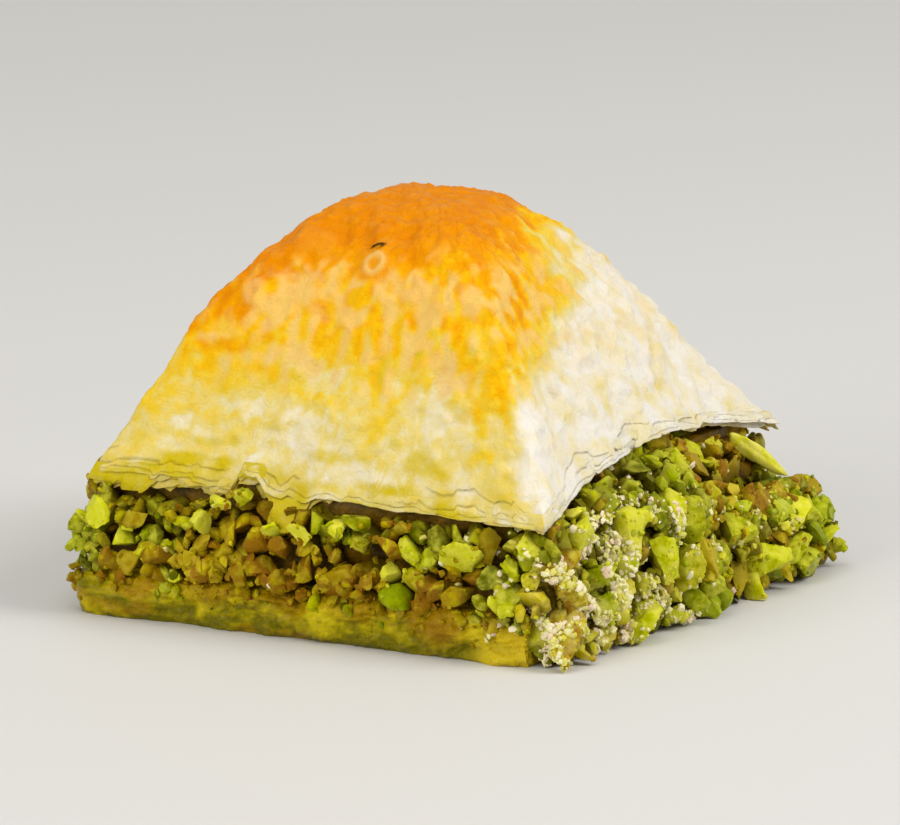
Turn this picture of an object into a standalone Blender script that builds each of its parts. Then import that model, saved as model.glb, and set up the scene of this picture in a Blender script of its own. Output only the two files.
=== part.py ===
"""A square piece of pistachio baklava with a puffed crust of thin filo leaves.

Three solids lie on each other, as the cook lays them: a flat slab of syrup-soaked leaves, a layer
of chopped pistachios that shows on every cut side, and a crust that has risen to a blunt pyramid.
The crust hangs to four pointed tips at its corners. Its wide side in view is -Y, and on its +X
side the nuts spill out down to the table.

Run it with: blender --background --python part.py
Lengths are in metres and +Z is up. The origin is on the table, under the middle of the piece.
"""

import math
import random

import bmesh
import bpy
from mathutils import Euler, Matrix, Vector, noise

MM = 0.001
GAP = 0.35 * MM  # left between two pieces that lie on each other

# The base, a slab of pressed leaves
BASE_HALF = 24.4 * MM  # from its middle to its cut sides
BASE_SPILL_HALF = 22.0 * MM  # to its +X side, which nuts cover
BASE_TOP = 5.0 * MM
BASE_LEAVES = 5
BASE_LEAF_STEP = 0.35 * MM
BASE_EDGE_WAVE = 0.45 * MM
BASE_WAVE_LENGTH = 7.0 * MM
BASE_WAVE_RISE = 1.1 * MM  # height over which the waves of the cut edge change
BASE_SQUARENESS = 30.0

# The pistachio layer
FILLING_HALF = 23.2 * MM
FILLING_TOP = 12.4 * MM
SPILL_FRONT_REACH = 25.2 * MM  # how far +X the spilled nuts' bed reaches at the table
SPILL_BACK_REACH = 31.2 * MM
SPILL_LENGTH = 22.6 * MM  # half of its length along Y
SPILL_BED_LIFT = 0.3 * MM
SPILL_NUT_LIFT = 0.15 * MM
SPILL_NUT_MIDDLES = (1.4 * MM, 13.6 * MM)  # heights of the lowest and the highest row
NUT_MIDDLES = (6.2 * MM, 11.5 * MM)  # the same on the three other sides
NUT_SIZE = 3.8 * MM
NUT_SIZE_SPREAD = 0.28
NUT_FORM = (1.2, 0.95, 0.85)
NUT_UNEVENNESS = 0.18
NUT_SPACING = 3.25 * MM
NUT_SHAKE = 0.5 * MM
NUT_CLEARANCE = GAP + 0.1 * MM  # so that no face of a nut lies in a face of the core
NUT_DENT = 0.25 * MM  # unevenness of the flat where a nut lies on or under something
NUT_SEED = 7

# The crust
CRUST_UNDERSIDE = FILLING_TOP + GAP
CRUST_PEAK = 37.0 * MM
CRUST_EDGE_HALF = 23.6 * MM
# Handles of the curve from the crust's edge up to its peak, as (half side, height)
FLANK_HANDLE = (13.9 * MM, 28.0 * MM)
CROWN_HANDLE = (12.2 * MM, 37.1 * MM)
PEAK_SHIFT = (-1.0 * MM, 0.2 * MM)
FLANK_LEAN = (0.9 * MM, 0.3 * MM)  # how far the middle of its height leans off centre
CROWN_SLOPE = (0.06, 0.03)  # by which the crown falls away towards +X and +Y
EDGE_SQUARENESS = 26.0  # of the superellipse that each level of the crust follows
CROWN_SQUARENESS = 3.4
SQUARENESS_FADE = 0.6  # below 1 the levels lose their corners early on the way up
SLOPE_START = 0.5  # share of the way up at which the crown's slope is full
MID_SIDE_PULL = 1.1 * MM  # how far the lower edge draws in between two tips
PULL_FADE = 2.0
TIP_REACH = (1.2 * MM, 2.2 * MM, 0.8 * MM, 0.4 * MM)  # of the tips, from +X-Y on anticlockwise
TIP_SHARPNESS = 9.0
TIP_FADE = 7.0
EDGE_LIFT = (3.0 * MM, 1.8 * MM, 1.4 * MM, 0.0)  # of its middle, on sides +X, +Y, -X and -Y
LIFT_FADE = 3.0
INNER_SHARE = 0.72  # of the underside, which lies flat on the nuts
LUMP_SIZE = 11.0 * MM
LUMP_HEIGHT = 0.9 * MM
WRINKLE_HEIGHT = 0.55 * MM
WRINKLES_ROUND = 28.0
WRINKLE_CHANGES = 2.2  # times that a wrinkle changes its height on the way up
RELIEF_START = 0.25  # share of the way up at which lumps and wrinkles are full
CROWN_RINGS = 12
CROWN_CAP_SHARE = 0.965

# The cut edges of the crust's leaves, low on its flanks
LEAF_EDGES = 4
LEAF_EDGE_SHARE = 0.27  # of the way up the curve that shows them
LEAF_LIP = 0.42 * MM
LIP_MEAN = 0.6  # of LEAF_LIP, before its raggedness
LIP_LEAST = 0.15
LIP_FADE_UP = 0.5
LIP_FADE_AT_TIPS = 0.6
LIP_TIP_SHARPNESS = 4.0
RAGS_ROUND = 12.0
RAG_SHIFT = 5.3  # between two leaves, so that each is torn in its own way
LEAF_RIPPLE = 0.35 * MM

POINTS_PER_SIDE = 20
CORNER_CROWDING = 0.4  # share by which the points of a ring draw together at the corners
SIDES = 4


def clear_scene():
    """Removes the startup objects."""
    for thing in list(bpy.data.objects):
        bpy.data.objects.remove(thing)


def new_collection(name):
    """A collection in the scene."""
    collection = bpy.data.collections.new(name)
    bpy.context.scene.collection.children.link(collection)
    return collection


def new_material(name, colour, roughness):
    """A plain Principled material. None of the food is metallic."""
    material = bpy.data.materials.new(name)
    material.use_nodes = True
    shader = material.node_tree.nodes["Principled BSDF"]
    shader.inputs["Base Color"].default_value = (*colour, 1.0)
    shader.inputs["Roughness"].default_value = roughness
    shader.inputs["Metallic"].default_value = 0.0
    return material


def object_from(mesh_builder, name, collection, material=None):
    """Turns a bmesh into an object of that name."""
    bmesh.ops.recalc_face_normals(mesh_builder, faces=mesh_builder.faces)
    mesh = bpy.data.meshes.new(name)
    mesh_builder.to_mesh(mesh)
    mesh_builder.free()
    thing = bpy.data.objects.new(name, mesh)
    collection.objects.link(thing)
    if material:
        mesh.materials.append(material)
    return thing


def mix(low, high, share):
    """The value a share of the way from low to high."""
    return low + (high - low) * share


def ring_places():
    """(side, along) round one level of the piece: sides +X, +Y, -X, -Y, and along runs -1 to 1."""
    places = []
    for side in range(SIDES):
        for step in range(POINTS_PER_SIDE):
            even = -1 + 2 * step / POINTS_PER_SIDE
            crowded = math.sin(even * math.pi / 2)
            places.append((side, mix(even, crowded, CORNER_CROWDING)))
    return places


def direction_of(side, along):
    """Angle, seen from the middle, of a place on the square."""
    return side * math.pi / 2 + math.atan(along)


def superellipse(angle, half_side, squareness):
    """Radius of a rounded square. A high squareness gives sharp corners."""
    across = abs(math.cos(angle)) ** squareness + abs(math.sin(angle)) ** squareness
    return half_side / across ** (1 / squareness)


def loft(rings, name, collection, material):
    """A closed solid through rings of equal counts, each anticlockwise, from the lowest up."""
    builder = bmesh.new()
    loops = [[builder.verts.new(point) for point in ring] for ring in rings]
    count = len(loops[0])
    for lower, upper in zip(loops, loops[1:]):
        for i in range(count):
            j = (i + 1) % count
            builder.faces.new((lower[i], lower[j], upper[j], upper[i]))
    builder.faces.new(reversed(loops[0]))
    builder.faces.new(loops[-1])
    return object_from(builder, name, collection, material)


def noise_round(angle, count, row):
    """Noise that closes on itself round the piece, with about this count of bumps."""
    radius = count / (2 * math.pi)
    return noise.noise(Vector((radius * math.cos(angle), radius * math.sin(angle), row)))


# The base

def base_point(side, along, level, draw_in):
    """A point of the base's cut side, on the leaf edge at this level."""
    angle = direction_of(side, along)
    radius = superellipse(angle, BASE_HALF - draw_in, BASE_SQUARENESS)
    outward = Vector((math.cos(angle), math.sin(angle), 0.0))
    row = Vector((0.0, 0.0, level / BASE_WAVE_RISE))
    wave = noise.noise(outward * radius / BASE_WAVE_LENGTH + row) * BASE_EDGE_WAVE
    point = outward * (radius + wave)
    point.x = min(point.x, BASE_SPILL_HALF - draw_in + wave)
    point.z = level
    return point


def make_base(collection, material):
    """The slab of pressed leaves, each leaf's edge a little proud of the next."""
    rings = []
    for leaf in range(BASE_LEAVES):
        bottom = BASE_TOP * leaf / BASE_LEAVES
        top = BASE_TOP * (leaf + 1) / BASE_LEAVES
        own = BASE_LEAF_STEP * (leaf % 2)
        for level, draw_in in ((bottom, own), (top, own + BASE_LEAF_STEP / 2)):
            rings.append([base_point(*place, level, draw_in) for place in ring_places()[::2]])
    return loft(rings, "base_leaves", collection, material)


# The crust

def crust_curve(share):
    """(half side, height) of the crust at a share of the way from its edge up to its peak."""
    left = 1 - share
    weights = (left**3, 3 * left**2 * share, 3 * left * share**2, share**3)
    knots = (
        (CRUST_EDGE_HALF, CRUST_UNDERSIDE),
        FLANK_HANDLE,
        CROWN_HANDLE,
        (0.0, CRUST_PEAK),
    )
    half_side = sum(weight * knot[0] for weight, knot in zip(weights, knots))
    height = sum(weight * knot[1] for weight, knot in zip(weights, knots))
    return half_side, height


def edge_height(side, along):
    """Height of the crust's lower edge, which lifts between two tips."""
    return CRUST_UNDERSIDE + EDGE_LIFT[side] * (1 - along * along)


def crust_point(side, along, share, proud=0.0):
    """A point of the crust. share runs from its lower edge, 0, up to its peak, 1."""
    angle = direction_of(side, along)
    mid_side = 1 - along * along
    half_side, height = crust_curve(share)
    half_side += proud - MID_SIDE_PULL * mid_side * (1 - share) ** PULL_FADE
    squareness = mix(EDGE_SQUARENESS, CROWN_SQUARENESS, share**SQUARENESS_FADE)
    radius = superellipse(angle, half_side, squareness)
    outward = Vector((math.cos(angle), math.sin(angle), 0.0))
    corner = (side + (along > 0)) % SIDES
    tip = TIP_REACH[corner] * abs(along) ** TIP_SHARPNESS * (1 - share) ** TIP_FADE
    point = outward * (radius + tip)
    point.z = height + EDGE_LIFT[side] * mid_side * (1 - share) ** LIFT_FADE
    slope = CROWN_SLOPE[0] * point.x + CROWN_SLOPE[1] * point.y
    point.z -= slope * min(1.0, share / SLOPE_START)
    mid_height = 4 * share * (1 - share)
    point.x += PEAK_SHIFT[0] * share + FLANK_LEAN[0] * mid_height
    point.y += PEAK_SHIFT[1] * share + FLANK_LEAN[1] * mid_height
    fade = min(1.0, share / RELIEF_START)
    lump = noise.noise(point / LUMP_SIZE) * LUMP_HEIGHT
    wrinkle = noise_round(angle, WRINKLES_ROUND, share * WRINKLE_CHANGES)
    wrinkle *= WRINKLE_HEIGHT * (1 - share)
    away = (point - Vector((0, 0, CRUST_UNDERSIDE))).normalized()
    return point + away * (lump + wrinkle) * fade


def leaf_edge_rings():
    """Two rings for each cut leaf: its lip, proud of the leaf below, and the top of its flank."""
    rings = []
    for leaf in range(LEAF_EDGES):
        bottom = LEAF_EDGE_SHARE * leaf / LEAF_EDGES
        top = LEAF_EDGE_SHARE * (leaf + 1) / LEAF_EDGES
        lip_ring, top_ring = [], []
        for side, along in ring_places():
            raggedness = noise_round(direction_of(side, along), RAGS_ROUND, leaf * RAG_SHIFT)
            lip = LEAF_LIP * max(LIP_LEAST, LIP_MEAN + raggedness)
            lip *= 1 - LIP_FADE_UP * leaf / LEAF_EDGES
            lip *= 1 - LIP_FADE_AT_TIPS * abs(along) ** LIP_TIP_SHARPNESS
            above_edge = min(leaf, 1)
            lip_point = crust_point(side, along, bottom, lip * above_edge)
            lip_point.z += LEAF_RIPPLE * raggedness * above_edge
            lip_ring.append(lip_point)
            top_ring.append(crust_point(side, along, top))
        rings += [lip_ring, top_ring]
    return rings


def make_crust(collection, material):
    """The puffed crust: a flat underside, ragged leaf edges, and a smooth crown."""
    places = ring_places()
    inner = [crust_point(side, along, 0.0) * INNER_SHARE for side, along in places]
    underside = [Vector((p.x, p.y, CRUST_UNDERSIDE)) for p in inner]
    rings = [underside] + leaf_edge_rings()
    for step in range(1, CROWN_RINGS + 1):
        share = mix(LEAF_EDGE_SHARE, CROWN_CAP_SHARE, step / CROWN_RINGS)
        rings.append([crust_point(side, along, share) for side, along in places])
    return loft(rings, "filo_crust", collection, material)


# The pistachio layer

def underside_height(x, y):
    """Height of the crust's underside over a place, also past its edge."""
    if abs(x) > abs(y):
        side = 0 if x > 0 else 2
    else:
        side = 1 if y > 0 else 3
    reach = max(abs(x), abs(y))
    along = (y, -x, -y, x)[side] / reach
    half_side = CRUST_EDGE_HALF - MID_SIDE_PULL * (1 - along * along)
    outer = (reach / half_side - INNER_SHARE) / (1 - INNER_SHARE)
    return mix(CRUST_UNDERSIDE, edge_height(side, along), min(1.0, max(0.0, outer)))


def nut_beds():
    """The patches that show nuts, each as (lower start, lower end, upper start, upper end)."""
    half, length = FILLING_HALF, SPILL_LENGTH
    low, high = NUT_MIDDLES
    beds = []
    for start, end in (((half, half), (-half, half)), ((-half, half), (-half, -half)),
                       ((-half, -half), (half, -half))):
        beds.append([Vector((*corner, level)) for level in (low, high) for corner in (start, end)])
    low, high = SPILL_NUT_MIDDLES
    front = Vector((SPILL_FRONT_REACH, -length, low))
    back = Vector((SPILL_BACK_REACH, length, low))
    beds.append((front, back, Vector((half, -length, high)), Vector((half, length, high))))
    for outer in (front, back):
        inner = Vector((half, outer.y, low))
        beds.append((inner, outer, Vector((half, outer.y, BASE_TOP)), Vector((*outer.xy, BASE_TOP))))
    return beds


def nut_places(draw):
    """Middles of the nut pieces, in rows over each bed, each a little off its row."""
    places = []
    for lower_start, lower_end, upper_start, upper_end in nut_beds():
        columns = round((lower_end - lower_start).length / NUT_SPACING)
        rows = round((upper_start - lower_start).length / NUT_SPACING) + 1
        for row in range(rows):
            for column in range(columns):
                along = (column + row % 2 / 2 + 1 / 4) / columns
                up = row / (rows - 1)
                lower = lower_start.lerp(lower_end, along)
                upper = upper_start.lerp(upper_end, along)
                place = lower.lerp(upper, up)
                shake = [draw.uniform(-NUT_SHAKE, NUT_SHAKE) for _ in range(3)]
                places.append(place + Vector(shake))
    return places


def make_nut(place, draw, collection):
    """One piece of chopped pistachio, few-sided, flat where it lies on the base or under the crust."""
    builder = bmesh.new()
    bmesh.ops.create_icosphere(builder, subdivisions=1, radius=0.5)
    for corner in builder.verts:
        corner.co *= draw.uniform(1 - NUT_UNEVENNESS, 1 + NUT_UNEVENNESS)
    size = NUT_SIZE * draw.uniform(1 - NUT_SIZE_SPREAD, 1 + NUT_SIZE_SPREAD)
    form = Matrix.Diagonal((*(size * ratio for ratio in NUT_FORM), 1.0))
    turn = Euler([draw.uniform(0, 2 * math.pi) for _ in range(3)]).to_matrix().to_4x4()
    bmesh.ops.transform(builder, matrix=Matrix.Translation(place) @ turn @ form, verts=builder.verts)
    on_spill = place.x > FILLING_HALF - MM
    floor = SPILL_NUT_LIFT if on_spill else BASE_TOP + NUT_CLEARANCE
    for corner in builder.verts:
        dent = draw.uniform(0, NUT_DENT)
        ceiling = underside_height(corner.co.x, corner.co.y) - NUT_CLEARANCE
        corner.co.z = min(max(corner.co.z, floor + dent), ceiling - dent)
        if corner.co.z < BASE_TOP + GAP:
            corner.co.x = max(corner.co.x, BASE_SPILL_HALF + BASE_EDGE_WAVE + GAP)
    return object_from(builder, "nut", collection)


def make_block(name, low, high, collection, material=None):
    """A box between two corners."""
    builder = bmesh.new()
    bmesh.ops.create_cube(builder, size=1.0)
    size = high - low
    form = Matrix.Translation((low + high) / 2) @ Matrix.Diagonal((*size, 1.0))
    bmesh.ops.transform(builder, matrix=form, verts=builder.verts)
    return object_from(builder, name, collection, material)


def make_spill_bed(collection):
    """The sloping bed under the nuts of the +X side, wider at the table and towards +Y."""
    inner = BASE_SPILL_HALF + BASE_EDGE_WAVE + GAP
    low = Vector((inner, -SPILL_LENGTH, SPILL_BED_LIFT))
    high = Vector((FILLING_HALF, SPILL_LENGTH, FILLING_TOP - MM))
    bed = make_block("spill_bed", low, high, collection)
    for corner in bed.data.vertices:
        if corner.co.x > inner + GAP and corner.co.z < BASE_TOP:
            back = corner.co.y > 0
            corner.co.x = SPILL_BACK_REACH if back else SPILL_FRONT_REACH
    return bed


def keep_largest_shell(mesh):
    """Drops the loose scraps of a joined mesh, and the hollows that joining has sealed."""
    builder = bmesh.new()
    builder.from_mesh(mesh)
    unseen = set(builder.faces)
    shells = []
    while unseen:
        shell, edge_of_search = set(), [unseen.pop()]
        while edge_of_search:
            face = edge_of_search.pop()
            shell.add(face)
            for edge in face.edges:
                found = unseen.intersection(edge.link_faces)
                unseen -= found
                edge_of_search += found
        shells.append(shell)
    largest = max(shells, key=len)
    rest = [face for shell in shells if shell is not largest for face in shell]
    bmesh.ops.delete(builder, geom=rest, context="FACES")
    builder.to_mesh(mesh)
    builder.free()


def join_all(thing, others):
    """Joins a collection's objects to one object and removes them."""
    union = thing.modifiers.new("join", "BOOLEAN")
    union.operation = "UNION"
    union.operand_type = "COLLECTION"
    union.collection = others
    union.solver = "MANIFOLD"
    bpy.context.view_layer.update()
    graph = bpy.context.evaluated_depsgraph_get()
    joined = bpy.data.meshes.new_from_object(thing.evaluated_get(graph))
    thing.modifiers.clear()
    thing.data = joined
    keep_largest_shell(joined)
    for other in list(others.objects):
        bpy.data.objects.remove(other)
    bpy.data.collections.remove(others)


def make_filling(collection, material):
    """The nut layer: a plain core with the pieces of nut that show joined to it."""
    draw = random.Random(NUT_SEED)
    low = Vector((-FILLING_HALF, -FILLING_HALF, BASE_TOP + GAP))
    high = Vector((FILLING_HALF, FILLING_HALF, FILLING_TOP))
    core = make_block("pistachio_filling", low, high, collection, material)
    pieces = new_collection("chopped_nuts")
    make_spill_bed(pieces)
    for place in nut_places(draw):
        make_nut(place, draw, pieces)
    join_all(core, pieces)
    return core


def main():
    clear_scene()
    baklava = new_collection("baklava_piece")
    golden = new_material("filo_golden", (0.86, 0.55, 0.17), 0.38)
    soaked = new_material("filo_soaked", (0.45, 0.28, 0.05), 0.3)
    green = new_material("pistachio_green", (0.30, 0.33, 0.03), 0.5)
    make_base(baklava, soaked)
    make_filling(baklava, green)
    make_crust(baklava, golden)


main()
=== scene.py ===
"""The looks of the baklava piece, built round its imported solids.

Each solid is replaced by finer pieces of the same form. The crust becomes a smooth puffed skin with
blisters, wrinkles that run down its slopes and thin torn leaves at its lower edge. The nut layer
becomes chopped pistachios of all sizes over a dark core. The base becomes a stack of soaked leaves.

Lengths are in millimetres until a mesh is made. The sides are numbered 0 to 3 for +X, +Y, -X and
-Y, which is the front. along runs from -1 to 1 over a side, and share from 0 at the crust's lower
edge to 1 at its peak.
"""

import math

import bmesh
import bpy
import numpy as np
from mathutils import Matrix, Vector, noise


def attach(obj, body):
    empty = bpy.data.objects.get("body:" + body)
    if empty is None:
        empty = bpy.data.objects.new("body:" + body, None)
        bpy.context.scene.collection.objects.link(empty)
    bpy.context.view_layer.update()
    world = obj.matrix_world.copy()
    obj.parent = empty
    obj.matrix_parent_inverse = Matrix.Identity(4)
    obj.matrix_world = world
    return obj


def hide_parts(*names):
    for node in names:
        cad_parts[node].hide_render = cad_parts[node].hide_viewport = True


MM = 0.001
SIDES = 4
SPILL_SIDE, LEFT_SIDE, FRONT_SIDE = 0, 2, 3
CORNER_CROWDING = 0.4

# The crust's form, as in the solid
CRUST_UNDERSIDE = 12.75
CRUST_PEAK = 37.0
CRUST_EDGE_HALF = 23.6
FLANK_HANDLE = (13.9, 28.0)
CROWN_HANDLE = (12.2, 37.1)
PEAK_SHIFT = np.array((-1.0, 0.2))
FLANK_LEAN = np.array((0.9, 0.3))
CROWN_SLOPE = np.array((0.06, 0.03))
EDGE_SQUARENESS = 26.0
CROWN_SQUARENESS = 3.4
SQUARENESS_FADE = 0.6
SLOPE_START = 0.5
MID_SIDE_PULL = 1.1
PULL_FADE = 2.0
TIP_REACH = np.array((1.2, 2.2, 0.8, 0.4))
TIP_SHARPNESS = 9.0
TIP_FADE = 7.0
EDGE_LIFT = np.array((3.0, 1.8, 1.4, 0.0))
LIFT_FADE = 3.0
LUMP_SIZE = 11.0
LUMP_HEIGHT = 0.9
WRINKLE_HEIGHT = 0.55
WRINKLES_ROUND = 28.0
WRINKLE_CHANGES = 2.2
RELIEF_START = 0.25

# The nut layer's and the base's form, as in the solids
BASE_HALF = 24.4
BASE_SPILL_HALF = 22.0
BASE_TOP = 5.0
BASE_SQUARENESS = 30.0
FILLING_HALF = 23.2
FILLING_TOP = 12.4
SPILL_FRONT_REACH = 25.2
SPILL_BACK_REACH = 31.2
SPILL_LENGTH = 22.6

# The view, from the photograph's angle and framed on the piece
VIEW_AZIMUTH = 27.0
VIEW_ELEVATION = 14.0
VIEW_DISTANCE = 0.698
VIEW_TARGET = (0.0022, 0.0, 0.0165)
LENS = 300.0
# Soft square lights, as (name, azimuth, elevation, distance, size, power, colour)
LIGHTS = (
    ("key", 100, 40, 0.9, 0.45, 4.6, (1.0, 0.98, 0.95)),
    ("top", 10, 75, 0.9, 0.6, 2.2, (1.0, 0.99, 0.97)),
    ("front", -20, 24, 1.1, 0.6, 5.0, (1.0, 0.98, 0.94)),
)
SURROUND = ((1.0, 0.99, 0.97, 1), 0.42)  # colour and strength of the light all round
FLOOR_HALF = 3000.0


def mix(low, high, share):
    """The value a share of the way from low to high."""
    return low + (high - low) * share


def smooth_step(low, high, value):
    """0 below low, 1 above high, and a smooth rise between them."""
    share = np.clip((value - low) / (high - low), 0, 1)
    return share * share * (3 - 2 * share)


def noise_at(points):
    """Noise from -1 to 1 at each point of an array."""
    flat = np.reshape(points, (-1, 3))
    values = np.fromiter((noise.noise(Vector(p)) for p in flat.tolist()), float, len(flat))
    return values.reshape(points.shape[:-1])


def noise_round(angle, count, row):
    """Noise that closes on itself round the piece, with about this count of bumps."""
    radius = count / (2 * math.pi)
    angle, row = np.broadcast_arrays(angle, row)
    return noise_at(np.stack((radius * np.cos(angle), radius * np.sin(angle), row), -1))


def angle_at(side, along):
    """The angle round the piece of a place on one of its sides."""
    return side * math.pi / 2 + np.arctan(along)


def level_way(angle):
    """The level direction at an angle."""
    return np.stack((np.cos(angle), np.sin(angle), 0 * angle), -1)


def torn_line(angle, count, seed):
    """A torn edge round the piece, 0 to 1, of straight stretches between sharp corners."""
    draw = np.random.RandomState(seed)
    corners = np.sort(draw.uniform(0, 2 * math.pi, count))
    return np.interp(angle, corners, draw.uniform(0, 1, count), period=2 * math.pi)


def srgb(red, green, blue):
    """A linear colour from the 0 to 255 values of a picture."""
    values = [value / 255 for value in (red, green, blue)]
    return tuple(v / 12.92 if v <= 0.04045 else ((v + 0.055) / 1.055) ** 2.4 for v in values)


# Meshes

def mesh_piece(name, points, faces, material, attributes=None):
    """A piece from points in millimetres and faces of equal corner counts, or a list of such arrays."""
    mesh = bpy.data.meshes.new(name)
    groups = [np.asarray(group) for group in (faces if isinstance(faces, list) else [faces])]
    corners = np.concatenate([group.ravel() for group in groups])
    counts = np.concatenate([np.full(len(group), group.shape[1]) for group in groups])
    mesh.vertices.add(len(points))
    mesh.vertices.foreach_set("co", (np.asarray(points) * MM).astype(np.float32).ravel())
    mesh.loops.add(len(corners))
    mesh.loops.foreach_set("vertex_index", corners.astype(np.int32))
    mesh.polygons.add(len(counts))
    mesh.polygons.foreach_set("loop_start", (np.cumsum(counts) - counts).astype(np.int32))
    mesh.update(calc_edges=True)
    mesh.validate()
    for key, values in (attributes or {}).items():
        layer = mesh.attributes.new(key, "FLOAT", "POINT")
        layer.data.foreach_set("value", np.asarray(values, np.float32).ravel())
    mesh.shade_smooth()
    mesh.materials.append(material)
    piece = bpy.data.objects.new(name, mesh)
    bpy.context.scene.collection.objects.link(piece)
    return piece


def grid_faces(rows, columns, first=0):
    """Quads between rings of points that follow each other in one array."""
    row, column = np.meshgrid(np.arange(rows - 1), np.arange(columns), indexing="ij")
    here = first + row * columns + column
    beside = first + row * columns + (column + 1) % columns
    return np.stack((here, beside, beside + columns, here + columns), -1).reshape(-1, 4)


def cap_faces(ring_start, columns, middle, up):
    """Triangles from a ring to a point in its middle."""
    here = ring_start + np.arange(columns)
    beside = ring_start + (np.arange(columns) + 1) % columns
    middle = np.full(columns, middle)
    return np.stack((here, beside, middle) if up else (beside, here, middle), -1)


def closed_faces(rows, columns):
    """Faces of a stack of rings that two more points close, one at its foot and one at its top."""
    total = rows * columns
    return [
        grid_faces(rows, columns),
        cap_faces(0, columns, total, False),
        cap_faces(total - columns, columns, total + 1, True),
    ]


def ring_places(points_per_side):
    """(side, along) arrays round one level of the piece."""
    even = -1 + 2 * np.arange(points_per_side) / points_per_side
    along = mix(even, np.sin(even * math.pi / 2), CORNER_CROWDING)
    side = np.repeat(np.arange(SIDES), points_per_side)
    return side, np.tile(along, SIDES)


def superellipse(angle, half_side, squareness):
    """Radius of a rounded square. A high squareness gives sharp corners."""
    across = np.abs(np.cos(angle)) ** squareness + np.abs(np.sin(angle)) ** squareness
    return half_side / across ** (1 / squareness)


# The crust's form

def crust_curve(share):
    """(half side, height) of the crust at a share of the way from its edge up to its peak."""
    left = 1 - share
    weights = (left**3, 3 * left**2 * share, 3 * left * share**2, share**3)
    knots = ((CRUST_EDGE_HALF, CRUST_UNDERSIDE), FLANK_HANDLE, CROWN_HANDLE, (0.0, CRUST_PEAK))
    half_side = sum(weight * knot[0] for weight, knot in zip(weights, knots))
    height = sum(weight * knot[1] for weight, knot in zip(weights, knots))
    return half_side, height


def crust_points(side, along, share, proud=0.0):
    """Points of the crust, as in its solid, and the direction away from its middle at each."""
    side, along, share = np.broadcast_arrays(side, along, share)
    angle = angle_at(side, along)
    mid_side = 1 - along * along
    half_side, height = crust_curve(share)
    half_side = half_side + proud - MID_SIDE_PULL * mid_side * (1 - share) ** PULL_FADE
    squareness = mix(EDGE_SQUARENESS, CROWN_SQUARENESS, share**SQUARENESS_FADE)
    radius = superellipse(angle, half_side, squareness)
    corner = (side + (along > 0)) % SIDES
    tip = TIP_REACH[corner] * np.abs(along) ** TIP_SHARPNESS * (1 - share) ** TIP_FADE
    level = level_way(angle)[..., :2] * (radius + tip)[..., None]
    z = height + EDGE_LIFT[side] * mid_side * (1 - share) ** LIFT_FADE
    z = z - level @ CROWN_SLOPE * np.minimum(1, share / SLOPE_START)
    mid_height = 4 * share * (1 - share)
    level = level + share[..., None] * PEAK_SHIFT + mid_height[..., None] * FLANK_LEAN
    points = np.concatenate((level, z[..., None]), -1)
    lump = noise_at(points / LUMP_SIZE) * LUMP_HEIGHT
    wrinkle = noise_round(angle, WRINKLES_ROUND, share * WRINKLE_CHANGES) * WRINKLE_HEIGHT
    relief = (lump + wrinkle * (1 - share)) * np.minimum(1, share / RELIEF_START)
    away = points - (0, 0, CRUST_UNDERSIDE)
    away = away / np.linalg.norm(away, axis=-1, keepdims=True)
    return points + away * relief[..., None], away


def place_on_crust(side, along, share):
    """One point of the crust."""
    return crust_points(*(np.array([value]) for value in (side, along, share)))[0][0]


# The crust's skin

SKIN_POINTS_PER_SIDE = 124
LEAF_GAPS = (0.012, 0.02, 0.032)  # how far up each torn leaf starts above the one under it
LEAF_ROWS = 6
LEAF_LIP = 0.085
TORN_CORNERS = 110
CROWN_ROWS = 152
CROWN_CAP_SHARE = 0.992
CREASES = ((2.4, 6.5, 0.26), (1.0, 3.2, 0.1))  # (width, length down the slope, height)
MOTTLE = ((3.2, 0.22), (1.4, 0.16), (0.8, 0.1))  # (size, height) of the uneven skin
MOTTLE_GAIN = (6, 14, 0.8)  # from the first x to the second it grows stronger by this share
FLAKES = (-0.24, -0.12, 0.0, 0.12, 0.24)  # levels of a noise at which thin leaves end
FLAKE_SIZE = (5.0, 5.0, 8.0)
FLAKE_STEP = 0.09
LIP_SHARES = (0.12, 0.3, 0.6)  # on the +X side, on the right half of the -Y side, and elsewhere
UNDERSIDE_RINGS = ((0.6, 2.4), (0.84, 1.9), (0.93, 1.2), (0.975, 0.45))  # (share of the reach, rise)
BLISTER_COUNTS = ((90, 0.8, 2.0, 0.28), (800, 0.35, 0.9, 0.17))  # (count, radii from and to, height)
BLISTER_SEED = 5
# How baked the crust is at these shares of its height
BAKE_HEIGHTS = (0, 0.2, 0.36, 0.5, 0.62, 0.76, 0.84, 0.94)
BAKE_THERE = (0.18, 0.2, 0.27, 0.4, 0.52, 0.62, 0.84, 0.97)
# Where the edge of the -Y side hangs low, or lies high, as (along, half width, drop)
EDGE_MARKS = ((-0.31, 0.075, -1.3), (-0.12, 0.12, 0.5), (-0.68, 0.22, -0.3))
# Golden marks on the -Y side, as (along, share, half width, half height, bake)
GOLDEN_MARKS = (
    (-0.02, 0.435, 0.08, 0.022, 0.6), (0.12, 0.35, 0.05, 0.07, 0.62), (0.18, 0.26, 0.05, 0.07, 0.5),
    (-0.15, 0.3, 0.11, 0.035, 0.58), (-0.43, 0.35, 0.035, 0.03, 0.6), (-0.49, 0.3, 0.035, 0.015, 0.62),
    (0.62, 0.4, 0.065, 0.045, 0.7), (0.88, 0.44, 0.03, 0.03, 0.55), (0.72, 0.32, 0.08, 0.03, 0.56),
    (0.755, 0.2, 0.048, 0.09, 0.48), (-0.72, 0.27, 0.09, 0.02, 0.68), (-0.5, 0.23, 0.16, 0.02, 0.5),
    (0.22, 0.15, 0.05, 0.05, 0.36), (0.9, 0.3, 0.08, 0.09, 0.56), (0.14, 0.31, 0.05, 0.035, 0.62),
)
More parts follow.
